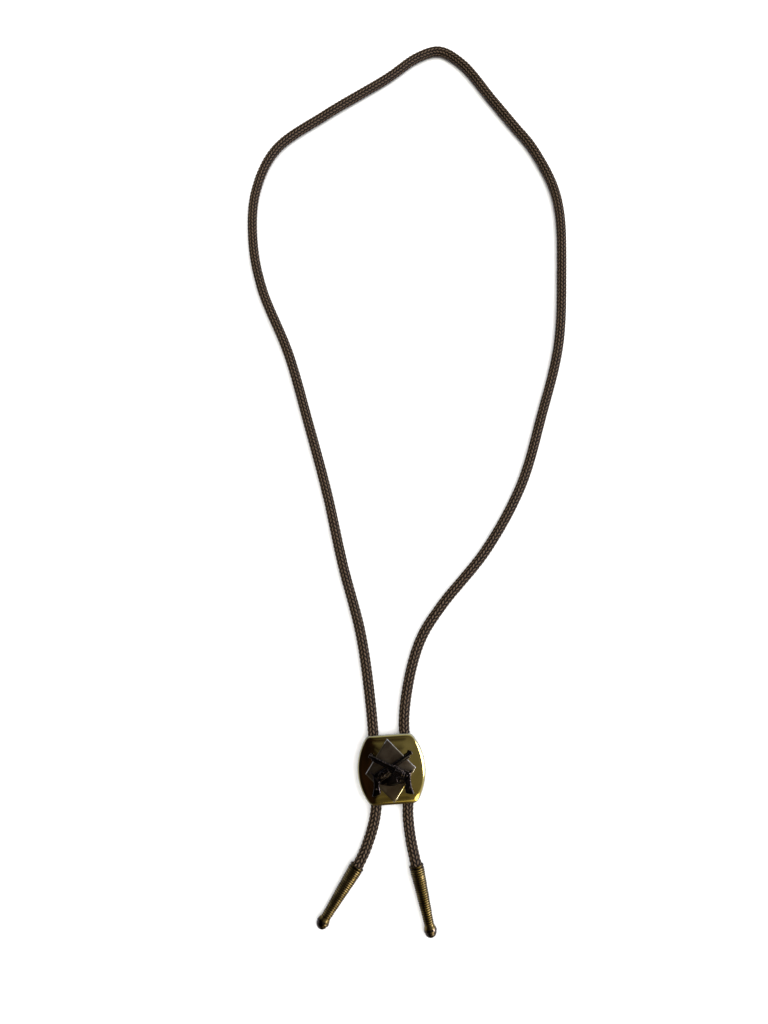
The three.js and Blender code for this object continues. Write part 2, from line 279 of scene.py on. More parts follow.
# %% [markdown]
# Most pieces here are skins of rings: a ring of edges is extruded again and again, and each new
# ring is put in its place by a formula. A number stored on each vertex says which point of the
# ring it is, so the order in which the operator makes new vertices doesn't matter. Two more helpers
# make flat pieces with a rounded edge and turned pieces, and the last two close a mesh and put the
# piece in the scene.

# %% Skins, slabs and turned pieces


def edges_among(items, verts):
    """The edges in a list whose two ends are both among these vertices."""
    ends = set(verts)
    return [e for e in items if isinstance(e, bmesh.types.BMEdge) and ends.issuperset(e.verts)]


def ring_skin(bm, sides, rings):
    """Extrude a ring through all the places that rings gives: one function of side for each."""
    side_layer = bm.verts.layers.int.get("side") or bm.verts.layers.int.new("side")
    ring = bmesh.ops.create_circle(bm, segments=sides, radius=1.0)["verts"]
    for side, vert in enumerate(ring):
        vert[side_layer] = side
    edges = edges_among(bm.edges, ring)
    for number, place in enumerate(rings):
        if number:
            made = bmesh.ops.extrude_edge_only(bm, edges=edges)["geom"]
            ring = [item for item in made if isinstance(item, bmesh.types.BMVert)]
            edges = edges_among(made, ring)
        for vert in ring:
            vert.co = place(vert[side_layer])


def slab(bm, outline, low, high, round_edge):
    """A flat piece with a rounded upper edge: its outline, its heights and the edge's radius."""
    base = bm.faces.new([bm.verts.new((x, y, low)) for x, y in outline])
    made = bmesh.ops.extrude_face_region(bm, geom=[base])["geom"]
    top = [item for item in made if isinstance(item, bmesh.types.BMVert)]
    bmesh.ops.translate(bm, vec=(0.0, 0.0, high - low), verts=top)
    edges = edges_among(made, top)
    bmesh.ops.bevel(
        bm, geom=edges, offset=round_edge, segments=3, affect="EDGES", profile=0.5, material=-1
    )


def turned(bm, profile, steps, matrix):
    """A turned piece: radius and distance pairs, spun about Z and then placed."""
    before = set(bm.verts)
    verts = [bm.verts.new((radius, 0.0, distance)) for radius, distance in profile]
    edges = [bm.edges.new(pair) for pair in zip(verts, verts[1:])]
    bmesh.ops.spin(
        bm,
        geom=verts + edges,
        axis=(0.0, 0.0, 1.0),
        cent=(0.0, 0.0, 0.0),
        angle=2 * math.pi,
        steps=steps,
        use_merge=True,
    )
    made = [vert for vert in bm.verts if vert not in before]
    bmesh.ops.transform(bm, matrix=matrix, verts=made)


# %% Finish a piece
MERGE_DISTANCE = 0.0005


def finish_mesh(name, bm):
    bmesh.ops.remove_doubles(bm, verts=bm.verts, dist=MERGE_DISTANCE)
    bmesh.ops.recalc_face_normals(bm, faces=bm.faces)
    mesh = bpy.data.meshes.new(name)
    bm.to_mesh(mesh)
    bm.free()
    return mesh


def finish_piece(name, mesh, materials, nodes, sharp_angle):
    """Put a mesh in the scene, in metres, in place of these nodes of the engineering model."""
    mesh.transform(Matrix.Scale(MM, 4))
    mesh.shade_smooth()
    if sharp_angle:
        mesh.set_sharp_from_angle(angle=math.radians(sharp_angle))
    for material in materials:
        mesh.materials.append(material)
    piece = bpy.data.objects.new(name, mesh)
    bpy.context.scene.collection.objects.link(piece)
    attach(piece, "root")
    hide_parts(*nodes)
    print(name, "has", len(mesh.polygons), "faces")
    return piece


# %% [markdown]
# The cord is one length of braid from tip to tip. Its route repeats the points of the engineering
# model, and a centripetal curve through them never loops back on itself where the points are
# unevenly spaced, which is why it was chosen over a plain spline.

# %% Route of the cord
CORD_DIAMETER = 4.9
CORD_ROUTE = [
    (-20.4, -42.9, 3.1),
    (-17.4, -38.9, 3.2),
    (-15.8, -36.7, 3.1),
    (-12.7, -31.0, 2.7),
    (-8.7, -20.4, 2.9),
    (-6.95, -8.0, 3.55),
    (-6.95, 8.0, 3.55),
    (-7.25, 27.0, 2.5),
    (-9.7, 58.7, 2.5),
    (-16.0, 91.2, 2.5),
    (-21.3, 125.0, 2.5),
    (-28.3, 159.8, 2.5),
    (-36.2, 195.8, 2.5),
    (-48.0, 232.0, 2.5),
    (-51.3, 257.6, 2.5),
    (-48.8, 284.6, 2.5),
    (-37.6, 307.7, 2.5),
    (-11.3, 326.0, 2.5),
    (22.6, 345.7, 2.5),
    (39.4, 357.1, 2.5),
    (51.1, 360.0, 2.5),
    (62.2, 351.8, 2.5),
    (76.5, 328.6, 2.5),
    (86.4, 312.4, 2.5),
    (93.8, 300.3, 2.5),
    (102.0, 278.5, 2.5),
    (104.0, 262.0, 2.5),
    (101.3, 229.0, 2.5),
    (95.4, 191.0, 2.5),
    (83.3, 156.0, 2.5),
    (70.0, 122.7, 2.5),
    (50.9, 93.6, 2.5),
    (27.9, 69.1, 2.5),
    (18.1, 56.2, 2.5),
    (11.8, 41.3, 2.5),
    (7.15, 20.9, 2.9),
    (6.95, 8.0, 3.55),
    (6.95, -8.0, 3.55),
    (5.8, -20.0, 2.9),
    (6.35, -31.0, 2.7),
    (7.75, -40.3, 3.2),
    (8.5, -45.2, 3.1),
]


def span_points(before, start, end, after, count):
    """Points along one span of a centripetal curve, by its Hermite form."""
    pairs = ((before, start), (start, end), (end, after))
    first, middle, last = [np.linalg.norm(b - a) ** 0.5 for a, b in pairs]
    leave = (start - before) / first - (end - before) / (first + middle) + (end - start) / middle
    arrive = (end - start) / middle - (after - start) / (middle + last) + (after - end) / last
    leave = leave * middle
    arrive = arrive * middle
    t = np.linspace(0.0, 1.0, count, endpoint=False)[:, None]
    rise = 3 * (end - start) - 2 * leave - arrive
    curl = 2 * (start - end) + leave + arrive
    return start + leave * t + rise * t**2 + curl * t**3


def smooth_route(points, count_per_span=120):
    """A smooth line through all the points, as rows of x, y and z."""
    knots = [np.array(point) for point in points]
    knots.insert(0, 2 * knots[0] - knots[1])
    knots.append(2 * knots[-1] - knots[-2])
    spans = [span_points(*knots[i : i + 4], count_per_span) for i in range(len(knots) - 3)]
    return np.vstack(spans + [knots[-2][None, :]])


def even_steps(line, step):
    """The same line in equal steps of about this length."""
    distance = np.concatenate([[0.0], np.cumsum(np.linalg.norm(np.diff(line, axis=0), axis=1))])
    places = np.linspace(0.0, distance[-1], round(distance[-1] / step) + 1)
    return np.stack([np.interp(places, distance, line[:, axis]) for axis in range(3)], axis=1)


RING_STEP = 0.4
cord_line = even_steps(smooth_route(CORD_ROUTE), RING_STEP)

# %% [markdown]
# The braid shows columns of slanted stitches that lean alternately left and right, a herringbone.
# It could be a bump texture on a smooth tube, but then the outline would be smooth too. Here
# Blender's curve makes the tube, and each of its points is sunk by a depth worked out from where
# it lies around the cord and along it. The same two numbers go into a UV map, so that the colour
# of the yarn can follow every stitch, with painted shade between the stitches.

# %% Braid relief
COLUMNS = 10
SIDES_PER_COLUMN = 4
CORD_SIDES = COLUMNS * SIDES_PER_COLUMN
STITCH_PITCH = 2.0
STITCH_SLANT = 0.9
BRAID_RELIEF = 0.48


def braid_phase(column, across, ring):
    """How far along its column's row of stitches a point lies, counted in stitches."""
    lean = np.where(column % 2 == 0, 1.0, -1.0)
    return ring * RING_STEP / STITCH_PITCH + lean * STITCH_SLANT * across + 0.25 * (1 + lean)


def stitch_height(across, phase):
    """How proud a stitch stands, from 0 to 1, across its column and along its phase."""
    return np.abs(np.sin(math.pi * phase)) ** 0.7 * np.cos(math.pi * across) ** 0.45


# %% Braided tube


def mesh_from_curve(name, lines, closed=False, **settings):
    """Lines of points become the splines of a curve with these settings, and then a mesh."""
    curve = bpy.data.curves.new(name, "CURVE")
    for key, value in settings.items():
        setattr(curve, key, value)
    for line in lines:
        spline = curve.splines.new("POLY")
        spline.points.add(len(line) - 1)
        points = np.c_[line, np.ones(len(line))].astype(np.float32)
        spline.points.foreach_set("co", points.ravel())
        spline.use_cyclic_u = closed
    holder = bpy.data.objects.new(name, curve)
    bpy.context.scene.collection.objects.link(holder)
    mesh = bpy.data.meshes.new_from_object(holder)
    bpy.data.objects.remove(holder)
    bpy.data.curves.remove(curve)
    return mesh


def move_points(mesh, move):
    """Put every point of a mesh where a function says, which takes and gives rows of x, y, z."""
    places = np.empty(len(mesh.vertices) * 3, np.float32)
    mesh.vertices.foreach_get("co", places)
    mesh.vertices.foreach_set("co", move(places.reshape(-1, 3)).ravel())


def sink_braid(places):
    """Sink the tube's points towards its middle line, between the stitches."""
    body = places.reshape(len(cord_line), CORD_SIDES, 3)
    centre = cord_line[:, None, :]
    side, ring = np.meshgrid(np.arange(CORD_SIDES), np.arange(len(cord_line)))
    column = np.floor(side / SIDES_PER_COLUMN)
    across = side / SIDES_PER_COLUMN - column - 0.5
    height = stitch_height(across, braid_phase(column, across, ring))
    share = BRAID_RELIEF * (1 - height) / (CORD_DIAMETER / 2)
    return centre + (body - centre) * (1 - share)[..., None]


def map_braid(mesh):
    """UV: the column with the share across it, and the phase along the stitches."""
    corners = np.empty(len(mesh.loops), np.int32)
    mesh.loops.foreach_get("vertex_index", corners)
    corners = corners.reshape(-1, 4)
    side = corners % CORD_SIDES
    ring = corners // CORD_SIDES
    wraps = side.max(axis=1) - side.min(axis=1) > 1
    side = np.where(wraps[:, None] & (side == 0), CORD_SIDES, side)
    column = np.floor(side.mean(axis=1, keepdims=True) / SIDES_PER_COLUMN)
    across = side / SIDES_PER_COLUMN - column - 0.5
    phase = braid_phase(column, across, ring)
    layer = mesh.uv_layers[0]
    layer.name = "braid"
    layer.data.foreach_set("uv", np.stack([column + across + 0.5, phase], axis=-1).ravel())


def close_ends(mesh):
    bm = bmesh.new()
    bm.from_mesh(mesh)
    bmesh.ops.holes_fill(bm, edges=bm.edges, sides=0)
    bm.to_mesh(mesh)
    bm.free()


# %% Yarn
WEAR_SPOTS_PER_M = 1300.0
WEAR_SHARE = 0.6
THREADS_PER_STITCH = 7
THREAD_RELIEF = 0.05


def braided_yarn():
    """Painted shade, nearly black, between the stitches and darker down their sides; light yarn
    on top with patches of wear, and fine threads across.
    """
    material, shader = start_material(
        "braided_yarn", (0.06, 0.045, 0.03), roughness=0.6, specular=0.1
    )
    tree = material.node_tree
    uv = add_node(tree, "ShaderNodeUVMap", {"uv_map": "braid"})
    split = add_node(tree, "ShaderNodeSeparateXYZ")
    tree.links.new(uv.outputs["UV"], split.inputs["Vector"])
    humps = []
    for axis in ("X", "Y"):
        angle = add_math(tree, "MULTIPLY", add_math(tree, "FRACT", split.outputs[axis]), math.pi)
        humps.append(add_math(tree, "SINE", angle))
    hump = add_math(tree, "MULTIPLY", *humps)
    wear = object_noise(tree, WEAR_SPOTS_PER_M, 3.0)
    tone = add_math(tree, "ADD", hump, add_math(tree, "MULTIPLY", wear, WEAR_SHARE))
    # Painted shade: the yarn is nearly black between the stitches and darker down their sides.
    shade_between_stitches = (0.003, 0.002, 0.001)
    side = (0.014, 0.008, 0.004)
    top = (0.118, 0.081, 0.052)
    color = add_ramp(tree, tone, [(0.54, shade_between_stitches), (0.78, side), (1.0, top)])
    tree.links.new(color, shader.inputs["Base Color"])
    turns = add_math(tree, "MULTIPLY", split.outputs["Y"], 2 * THREADS_PER_STITCH * math.pi)
    add_bump(tree, shader, add_math(tree, "SINE", turns), THREAD_RELIEF * MM, 0.6)
    return material


# %% Make the cord
braid_mesh = mesh_from_curve(
    "tube",
    [cord_line],
    dimensions="3D",
    bevel_depth=CORD_DIAMETER / 2,
    bevel_resolution=(CORD_SIDES - 4) // 2,
)
move_points(braid_mesh, sink_braid)
map_braid(braid_mesh)
close_ends(braid_mesh)
braid = finish_piece("braided_cord", braid_mesh, [braided_yarn()], ["cord"], 0)

# %% [markdown]
# The tips are turned and rolled brass tubes. Fine ribs run round them in groups, with a deeper
# groove before each group, and each ends in a ball that grows smoothly out of the neck. A lathe
# shape is exactly what Blender's spin makes from a profile. Old tarnish stays in the grooves, and
# painted shade darkens them more, so every point also stores how deep in a groove it lies, which
# the metal reads as darkness. The lip at the mouth gets some of that painted shade too.

# %% Sizes of a tip
TIP_LENGTH = 29.6
TIP_MOUTH_RADIUS = 3.2
TIP_NECK_RADIUS = 2.05
TIP_BALL_RADIUS = 2.55
TIP_BORE_RADIUS = 2.75
TIP_SIDES = 64
RIB_PITCH = 0.92
RIB_DEPTH = 0.24
DEEP_GROOVE = 1.7
RIB_SWELL = 0.06
RIB_GROUPS = (4, 5, 6, 6, 4)
RIB_STEPS = 8
END_STEPS = 30
LIP_LENGTH = 1.1
LIP_ROUNDING = 0.3
# How dark the mouth's lip is painted: painted shade where the cord goes in.
LIP_PAINTED_SHADE = 0.35
BALL_MIDDLE = TIP_LENGTH - TIP_BALL_RADIUS
BALL_BLEND = 1.8
BALL_FINISH_START = BALL_MIDDLE - 1.2
RIBS_END = LIP_LENGTH + RIB_PITCH * sum(RIB_GROUPS)
SOCKET_CLEARANCE = 0.3
print(sum(RIB_GROUPS), "ribs on each tip, the last one", round(RIBS_END, 1), "mm from the mouth")

# %% Profile of a tip


def smooth_larger(first, second, blend):
    """The larger of two numbers, with a soft change from one to the other."""
    near = max(blend - abs(first - second), 0.0) / blend
    return max(first, second) + near * near * blend / 4


def tip_body_radius(distance):
    share = min(distance / RIBS_END, 1.0)
    return TIP_MOUTH_RADIUS + (TIP_NECK_RADIUS - TIP_MOUTH_RADIUS) * share


def tip_radius(distance):
    ball = math.sqrt(max(TIP_BALL_RADIUS**2 - (distance - BALL_MIDDLE) ** 2, 0.0))
    if distance > BALL_MIDDLE:
        return ball
    return smooth_larger(tip_body_radius(distance), ball, BALL_BLEND)


def rib_profile():
    """The ribs, group by group: each group starts with a deeper groove and swells a little."""
    points = []
    start = LIP_LENGTH
    for count in RIB_GROUPS:
        for rib in range(count):
            for step in range(RIB_STEPS):
                t = step / RIB_STEPS
                distance = start + (rib + t) * RIB_PITCH
                swell = RIB_SWELL * math.sin(math.pi * (rib + t) / count)
                groove = RIB_DEPTH * (1 - math.sin(math.pi * t))
                if rib == 0 and step == 0:
                    groove = DEEP_GROOVE * RIB_DEPTH
                points.append((tip_radius(distance) + swell - groove, distance))
        start += count * RIB_PITCH
    return points


def tip_profile(socket_depth):
    """From the bottom of the socket out round the lip, along the ribs and round the ball."""
    lip = LIP_ROUNDING
    points = [(0.0, socket_depth), (TIP_BORE_RADIUS, socket_depth), (TIP_BORE_RADIUS, lip)]
    middle = (TIP_BORE_RADIUS + TIP_MOUTH_RADIUS) / 2
    half = (TIP_MOUTH_RADIUS - TIP_BORE_RADIUS) / 2
    for step in range(1, 8):
        angle = math.pi * step / 8
        points.append((middle - half * math.cos(angle), lip - lip * math.sin(angle)))
    points.append((TIP_MOUTH_RADIUS, lip + 0.15))
    points += rib_profile()
    for step in range(END_STEPS):
        t = step / END_STEPS
        distance = RIBS_END + (TIP_LENGTH - RIBS_END) * math.sin(t * math.pi / 2)
        points.append((tip_radius(distance), distance))
    points.append((0.0, TIP_LENGTH))
    return points


# %% Make the tips


def groove_tarnish_and_shade(distance):
    """From 0 on top of a rib to 1 in a groove, tarnish with painted shade; the lip gets
    some painted shade and the ball none.
    """
    if distance < LIP_LENGTH - 0.01:
        return LIP_PAINTED_SHADE
    if distance < RIBS_END:
        return 1 - math.sin(math.pi * ((distance - LIP_LENGTH) / RIB_PITCH % 1.0))
    return 0.0


def cord_tip(name, node, end, mouth):
    """A tip takes its place from the cord's last two points: its mouth is at the second."""
    end = Vector(end)
    mouth = Vector(mouth)
    flat = Vector((end.x - mouth.x, end.y - mouth.y, 0.0)).normalized()
    slope = math.asin((TIP_MOUTH_RADIUS - TIP_BALL_RADIUS) / (TIP_LENGTH - TIP_BALL_RADIUS))
    axis = flat * math.cos(slope) - Vector((0.0, 0.0, math.sin(slope)))
    turn = axis.to_track_quat("Z", "Y").to_matrix().to_4x4()
    place = Matrix.Translation((mouth.x, mouth.y, TIP_MOUTH_RADIUS)) @ turn
    bm = bmesh.new()
    turned(bm, tip_profile((end - mouth).length + SOCKET_CLEARANCE), TIP_SIDES, place)
    mesh = finish_mesh(name, bm)
    back = place.inverted()
    for face in mesh.polygons:
        if (back @ face.center).z > BALL_FINISH_START:
            face.material_index = 1
    depths = [groove_tarnish_and_shade((back @ vert.co).z) for vert in mesh.vertices]
    mesh.attributes.new("groove", "FLOAT", "POINT").data.foreach_set("value", depths)
    return finish_piece(name, mesh, [aged_brass, dark_glossy_ball], [node], 50)


left_tip = cord_tip("ribbed_tip_left", "tip_left", CORD_ROUTE[0], CORD_ROUTE[1])
right_tip = cord_tip("ribbed_tip_right", "tip_right", CORD_ROUTE[-1], CORD_ROUTE[-2])

# %% [markdown]
# The clip behind the slide hardly shows from the front, but it does from the side and the back.
# Its section is a flat tube with three holes: a channel for each run of the cord and a hollow
# between them. A flat curve with holes fills and extrudes itself and rounds its own edges, which
# would take many more steps with bmesh.

# %% Cord clip
CLIP_LENGTH = 17.0
CLIP_RADIUS = 3.55
CLIP_WALL = 0.8
CHANNEL_MIDDLE = 6.95
CHANNEL_RADIUS = 2.75
LAND_HALF = 3.0
LAND_HEIGHT = 0.5
CLIP_EDGE = 0.18
ARC_STEPS = 24
CHANNEL_STEPS = 47


def arc(middle, radius, start, end, steps):
    """Points of the clip's section on a circle, between two angles in degrees."""
    angles = [math.radians(start + (end - start) * step / steps) for step in range(steps + 1)]
    return [
        (middle + radius * math.cos(angle), CLIP_RADIUS + radius * math.sin(angle), 0.0)
        for angle in angles
    ]


def cord_clip():
    top = 2 * CLIP_RADIUS
    land_top = top + LAND_HEIGHT
    land = [(LAND_HALF, top, 0.0), (LAND_HALF, land_top, 0.0)]
    land += [(-LAND_HALF, land_top, 0.0), (-LAND_HALF, top, 0.0)]
    right_arc = arc(CHANNEL_MIDDLE, CLIP_RADIUS, -90, 90, ARC_STEPS)
    left_arc = arc(-CHANNEL_MIDDLE, CLIP_RADIUS, 90, 270, ARC_STEPS)
    half = CHANNEL_MIDDLE - CLIP_RADIUS
    low = CLIP_WALL
    high = top - CLIP_WALL
    hollow = [(-half, low, 0.0), (-half, high, 0.0), (half, high, 0.0), (half, low, 0.0)]
    # The last point of a channel's circle is one step short of its first, so none lies twice.
    last = 360 / (CHANNEL_STEPS + 1)
    channels = [
        arc(side * CHANNEL_MIDDLE, CHANNEL_RADIUS, 360, last, CHANNEL_STEPS) for side in (-1, 1)
    ]
    mesh = mesh_from_curve(
        "cord_clip",
        [right_arc + land + left_arc, hollow, *channels],
        closed=True,
        dimensions="2D",
        fill_mode="BOTH",
        extrude=CLIP_LENGTH / 2 - CLIP_EDGE,
        bevel_depth=CLIP_EDGE,
        bevel_resolution=2,
        offset=-CLIP_EDGE,
    )
    mesh.transform(Matrix.Rotation(math.pi / 2, 4, "X"))
    finish_piece("flat_sleeve", mesh, [aged_brass], ["cord_clip"], 40)


cord_clip()

# %% [markdown]
# The slide's plate is a thin brass dome with straight top and bottom edges and bowed sides. Its
# outline is two arcs of a circle blended with two lines, and a high power in the blend keeps the
# corners crisp. The height falls off slowly over the crown and quickly at the rim, as in a plate
# that was pressed over a form. The rings lie closer together near the rim, where it curves most.

# %% Dome formulas
PLATE_WIDTH = 29.5
PLATE_HEIGHT = 29.3
SIDE_BULGE = 5.0
PLATE_TAPER = 0.01
PLATE_RIM = 6.2
PLATE_RISE = 2.7
PLATE_WALL = 1.0
DOME_FULLNESS = 3.2
CORNER_FULLNESS = 28.0


def plate_share(x, y):
    """How far out a point lies between the plate's middle, 0, and its edge, 1."""
    half_width = PLATE_WIDTH / 2
    half_height = PLATE_HEIGHT / 2
    arc_radius = (half_height**2 + SIDE_BULGE**2) / (2 * SIDE_BULGE)
    arc_offset = arc_radius - half_width
    across = np.abs(x) / (1 - PLATE_TAPER * y / half_height)
    factor = arc_radius**2 - arc_offset**2
    reach = np.sqrt((arc_offset * across) ** 2 + factor * (across**2 + y**2))
    side = (arc_offset * across + reach) / factor
    end = np.abs(y) / half_height
    return (side**CORNER_FULLNESS + end**CORNER_FULLNESS) ** (1 / CORNER_FULLNESS)


def dome_height(share, rise=PLATE_RISE):
    """How high the dome stands at this share of the way from its middle to its edge."""
    return PLATE_RIM + rise * np.sqrt(1 - np.minimum(share, 1.0) ** DOME_FULLNESS)


def dome_at(x, y):
    return dome_height(plate_share(x, y))


def plate_edge(angle):
    """The point of the plate's outline in this direction from its middle."""
    x = math.cos(angle)
    y = math.sin(angle)
    radius = PLATE_WIDTH / 2
    for _ in range(30):
        radius /= plate_share(x * radius, y * radius)
    return x * radius, y * radius


print("crown at", round(float(dome_at(0.0, 0.0)), 2), "mm")

# %% Slide plate
PLATE_SIDES = 200
CROWN_STEPS = 34
INSIDE_STEPS = 12
RIM_SHARE = 0.972
plate_outline = [plate_edge(2 * math.pi * side / PLATE_SIDES) for side in range(PLATE_SIDES)]


def plate_ring(share, height):
    return lambda side: (plate_outline[side][0] * share, plate_outline[side][1] * share, height)


def slide_plate():
    inside = 1 - PLATE_WALL / (PLATE_WIDTH / 2)
    rings = []
    for step in range(CROWN_STEPS + 1):
        share = 1 - (1 - step / CROWN_STEPS) ** 1.8
        rings.append(plate_ring(share, float(dome_height(share))))
    rings.append(plate_ring(0.5 * (1 + inside), PLATE_RIM - 0.02))
    for step in range(INSIDE_STEPS):
        share = (1 - step / INSIDE_STEPS) ** 0.6
        height = float(dome_height(share, PLATE_RISE - PLATE_WALL))
        rings.append(plate_ring(share * inside, height))
    rings.append(plate_ring(0.0, PLATE_RIM + PLATE_RISE - PLATE_WALL))
    bm = bmesh.new()
    ring_skin(bm, PLATE_SIDES, rings)
    mesh = finish_mesh("domed_plate", bm)
    # The outermost faces take the paler rim metal, a painted highlight.
    for face in mesh.polygons:
        if plate_share(face.center.x, face.center.y) > RIM_SHARE:
            face.material_index = 1
    metals = [polished_brass, pale_rim_highlight]
    finish_piece("domed_plate", mesh, metals, ["slide_plate"], 60)


slide_plate()

# %% [markdown]
# The diamond is a thin plate bent over the dome, with filed edges that catch the light. Its rings
# are the outline drawn smaller and smaller, and every point takes its height from the dome below.
# The filed edge gets its own brighter metal, a painted highlight, on the sides that face the light.

# %% Diamond plate
DIAMOND_WIDTH = 22.0
DIAMOND_HEIGHT = 26.7
DIAMOND_MIDDLE = Vector((-0.4, -0.2))
DIAMOND_TURN = math.radians(3)
DIAMOND_THICKNESS = 1.1
SEAT_GAP = 0.3
EDGE_WIDTH = 0.25
DIAMOND_SIDES = 96
# Where the diamond's filed edge gets the painted highlight.
HIGHLIGHT_RIGHT_CORNER_FROM = -1.5
HIGHLIGHT_FOOT_BELOW = -7.0
HIGHLIGHT_TOP_ABOVE = 11.0
HIGHLIGHT_LEFT_CORNER = (-7.0, -0.5)


def diamond_outline():
    corners = [
        Vector((DIAMOND_WIDTH / 2, 0.0)),
        Vector((0.0, DIAMOND_HEIGHT / 2)),
        Vector((-DIAMOND_WIDTH / 2, 0.0)),
        Vector((0.0, -DIAMOND_HEIGHT / 2)),
    ]
    turn = Matrix.Rotation(DIAMOND_TURN, 2)
    count = DIAMOND_SIDES // 4
    points = []
    for side in range(4):
        start = turn @ corners[side] + DIAMOND_MIDDLE
        end = turn @ corners[(side + 1) % 4] + DIAMOND_MIDDLE
        points += [start.lerp(end, step / count) for step in range(count)]
    return points


def edge_has_painted_highlight(x, y):
    """Painted highlight on the right, except low down, and on the left at the top
    and the corner.
    """
    if x > DIAMOND_MIDDLE.x:
        return y > HIGHLIGHT_RIGHT_CORNER_FROM or y < HIGHLIGHT_FOOT_BELOW
    corner_x, corner_y = HIGHLIGHT_LEFT_CORNER
    return y > HIGHLIGHT_TOP_ABOVE or (x < corner_x and y > corner_y)


def diamond_plate():
    outline = diamond_outline()
    inradius = DIAMOND_WIDTH * DIAMOND_HEIGHT / (2 * math.hypot(DIAMOND_WIDTH, DIAMOND_HEIGHT))
    edge = 1 - EDGE_WIDTH / inradius

    def ring(share, above):
        def place(side):
            x = outline[side].x * share
            y = outline[side].y * share
            return x, y, float(dome_at(x, y)) + SEAT_GAP + above

        return place

    top = DIAMOND_THICKNESS
    rings = [ring(edge * step / 12, top) for step in range(12)]
    rings.append(ring(edge - 0.004, top))
    rings.append(ring(edge, top - 0.015))
    rings.append(ring(0.5 + 0.5 * edge, top - 0.2))
    rings.append(ring(0.998, top - EDGE_WIDTH))
    rings.append(ring(1.0, top - EDGE_WIDTH - 0.05))
    rings.append(ring(1.0, 0.05))
    rings.append(ring(0.995, 0.0))
    rings += [ring(0.995 - step / 6, 0.0) for step in range(1, 6)]
    rings.append(ring(0.0, 0.0))
    bm = bmesh.new()
    ring_skin(bm, DIAMOND_SIDES, rings)
    mesh = finish_mesh("diamond_plate", bm)
    # Faces of the filed edge on the lit sides take the painted highlight metal.
    for face in mesh.polygons:
        x, y, _ = face.center
        height = face.center.z - float(dome_at(x, y)) - SEAT_GAP
        if 0.02 < height < top - 0.05 and edge_has_painted_highlight(x, y):
            face.material_index = 1
    metals = [satin_bronze, painted_highlight_edge]
    finish_piece("bent_diamond", mesh, metals, ["diamond_plate"], 25)


diamond_plate()

# %% [markdown]
# The two crossed revolvers are one casting. Each is put together from simple shapes in its own
# plane, with u forward along the barrel and v upwards: a flat frame with a rounded edge, a fuller
# grip, a fluted drum, a barrel with a muzzle, an ejector rod, a hammer, a sight and a trigger
# guard. Separate shapes that only touch would look like a kit, so a voxel remesh melts them into
# one skin with soft inner corners, as wax and metal give in a real casting. Then what hangs below
# the seat is pressed flat, and the whole is bent over the dome.

# %% Revolver sizes
GUN_TILT = math.radians(28.5)
GUN_REAR = (7.5, -2.3)
GUN_LENGTH = 19.2
FRAME_LENGTH = 7.4
FRAME_THICKNESS = 1.5
BARREL_RADIUS = 0.75
EJECTOR_RADIUS = 0.475
EJECTOR_LENGTH = 10.4
EJECTOR_DROP = 0.93
DRUM_RADIUS = 1.8
DRUM_LENGTH = 3.7
DRUM_DROP = 0.8
DRUM_START = 3.0
DRUM_SIDES = 72
FLUTES = 6
FLUTE_DEPTH = 0.34
SHIELD_RADIUS = 1.55
SHIELD_LENGTH = 0.8
SHIELD_START = 2.1
GUARD_RADIUS = 0.32
TRIGGER_RADIUS = 0.24
BARREL_START = FRAME_LENGTH - 0.4
ROD_NOSE = 0.12
BELOW_SEAT = -0.3
OVER_LIFT = 0.9

# Shares of the frame's length, u then v. The sight and the screws are in millimetres.
FRAME_OUTLINE = [
    (1.0, 0.13),
    (0.26, 0.18),
    (0.14, 0.18),
    (0.02, 0.12),
    (-0.04, 0.0),
    (0.02, -0.3),
    (0.1, -0.39),
    (0.66, -0.38),
    (0.92, -0.34),
    (1.0, -0.27),
]
GRIP_OUTLINE = [
    (0.06, 0.02),
    (-0.04, 0.06),
    (-0.1, -0.03),
    (-0.15, -0.16),
    (-0.26, -0.35),
    (-0.39, -0.53),
    (-0.54, -0.68),
    (-0.66, -0.8),
    (-0.63, -0.86),
    (-0.5, -0.92),
    (-0.3, -0.965),
    (-0.19, -0.97),
    (-0.14, -0.9),
    (-0.09, -0.74),
    (-0.03, -0.58),
    (0.06, -0.44),
    (0.14, -0.34),
]
HAMMER_OUTLINE = [
    (0.1, 0.1),
    (0.07, 0.2),
    (0.03, 0.28),
    (-0.06, 0.34),
    (-0.1, 0.3),
    (-0.04, 0.24),
    (-0.03, 0.14),
    (-0.04, 0.04),
]
SIGHT_OUTLINE = [(17.6, 0.4), (18.0, 1.1), (18.45, 1.35), (18.9, 1.3), (19.0, 0.4)]
GUARD_PATH = [
    (0.08, -0.38),
    (0.12, -0.5),
    (0.22, -0.59),
    (0.34, -0.63),
    (0.46, -0.62),
    (0.57, -0.55),
    (0.64, -0.45),
    (0.66, -0.36),
]
TRIGGER_PATH = [(0.36, -0.36), (0.35, -0.44), (0.37, -0.51), (0.41, -0.55)]
SCREW_PLACES = [(1.2, -0.6), (6.6, -1.9), (-1.9, -4.3)]
SCREW_PROFILE = [(0.0, 0.0), (0.34, 0.0), (0.34, 0.2), (0.26, 0.26), (0.0, 0.26)]
grip_end = min(u for u, _ in GRIP_OUTLINE) * FRAME_LENGTH
print("each revolver is", round(GUN_LENGTH - grip_end, 1), "mm long from grip to muzzle")

# %% Round parts of a revolver


def frame_points(outline):
    return [(u * FRAME_LENGTH, v * FRAME_LENGTH) for u, v in outline]


def along_u(start, v, height):
    """Place a turned piece, made along Z, so that it runs forward along u."""
    return Matrix.Translation((start, v, height)) @ Matrix.Rotation(math.pi / 2, 4, "Y")


